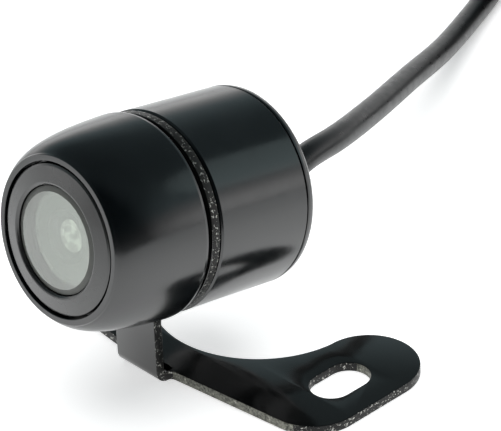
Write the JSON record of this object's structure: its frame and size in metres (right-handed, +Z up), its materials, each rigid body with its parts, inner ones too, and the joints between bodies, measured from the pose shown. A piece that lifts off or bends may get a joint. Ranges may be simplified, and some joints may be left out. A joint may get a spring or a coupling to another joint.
{
  "type": "backup camera",
  "caption": "Round bullet reversing camera clamped in a pressed two-slot bracket, with a grey bezel, flat round window, rear cable, tied coil and threaded plug.",
  "frame": {"origin": "on the underside of the bracket plate, on its centre line between the wings", "axes": "the camera looks along -Y with its nose tipped up 10 degrees, +X runs along the wings, +Z points up from the plate"},
  "size_m": [0.0743, 0.162, 0.0339],
  "materials": {
    "anodised": "satin black anodised, machined",
    "paint": "glossy black paint over pressed steel, bare cut edges",
    "bezel": "grey anodised, fine turned",
    "window": "clear glass with a grey-green tint, bevelled edge",
    "rubber": "soft matte black rubber",
    "jacket": "matte dark grey cable jacket",
    "board": "green fibreglass circuit board",
    "steel": "bright zinc plated",
    "black_plastic": "moulded black plastic",
    "white_plastic": "moulded off-white nylon",
    "lens": "polished coated lens",
    "filter": "thin coated filter glass",
    "chip": "moulded chip body",
    "can": "bright drawn can",
    "wire_red": "red wire insulation",
    "wire_black": "black wire insulation",
    "wire_yellow": "yellow wire insulation",
    "wire_white": "white wire insulation",
    "gold": "gold plated contact"
  },
  "bodies": {
    "bracket": {"mounting_bracket": "paint", "cable": "jacket", "cable_coil": "jacket", "cable_tail": "jacket", "coil_tie_1": "black_plastic", "coil_tie_2": "black_plastic", "coil_tie_3": "black_plastic", "plug_boot": "rubber", "plug_body": "black_plastic", "plug_insert": "white_plastic", "plug_pin_1": "gold", "plug_pin_2": "gold", "plug_pin_3": "gold", "plug_pin_4": "gold"},
    "camera_body": {"front_casing": "anodised", "front_bezel": "bezel", "front_glass": "window", "glass_gasket": "rubber", "clamp_washer": "rubber", "body_seal": "rubber", "lens_barrel": "black_plastic", "lens_retaining_ring": "black_plastic", "aperture_ring": "black_plastic", "lens_holder": "black_plastic", "lens_element_front": "lens", "lens_element_middle": "lens", "lens_element_rear": "lens", "ir_filter": "filter", "image_sensor": "chip", "signal_chip": "chip", "pin_header": "black_plastic", "power_inductor": "chip", "power_capacitor": "can", "sensor_board": "board", "power_board": "board", "board_spacer_left": "steel", "board_spacer_right": "steel", "board_screw_left": "steel", "board_screw_right": "steel", "wire_header": "white_plastic", "wire_plug": "white_plastic", "wire_red": "wire_red", "wire_black": "wire_black", "wire_yellow": "wire_yellow", "wire_white": "wire_white"},
    "clamp_washer_body": {"thrust_washer": "white_plastic"},
    "rear_housing": {"rear_casing": "anodised", "rear_cap": "anodised", "cap_screw_1": "steel", "cap_screw_2": "steel", "cap_screw_3": "steel", "cable_gland": "rubber"},
    "plug_nut": {"plug_ring": "black_plastic"}
  },
  "joints": [
    {"name": "camera_roll", "type": "hinge", "parent": "bracket", "child": "camera_body", "pos_m": [0, -0.00175, 0.0211], "axis": [0, 0.9848, -0.1736], "range_deg": [-180, 180]},
    {"name": "clamp_travel", "type": "slide", "parent": "camera_body", "child": "clamp_washer_body", "axis": [0, 0.9848, -0.1736], "range_m": [0, 0.0005]},
    {"name": "rear_casing_turn", "type": "hinge", "parent": "clamp_washer_body", "child": "rear_housing", "pos_m": [0, -0.00175, 0.0211], "axis": [0, 0.9848, -0.1736], "range_deg": [0, 240]},
    {"name": "plug_ring_turn", "type": "hinge", "parent": "bracket", "child": "plug_nut", "pos_m": [0.0045, 0.10873, 0.00595], "axis": [0.4198, -0.9076, 0], "continuous": true}
  ],
  "couplings": [
    {"joint": "rear_casing_turn", "follows": "clamp_travel", "rad_per_m": 8377.6}
  ]
}
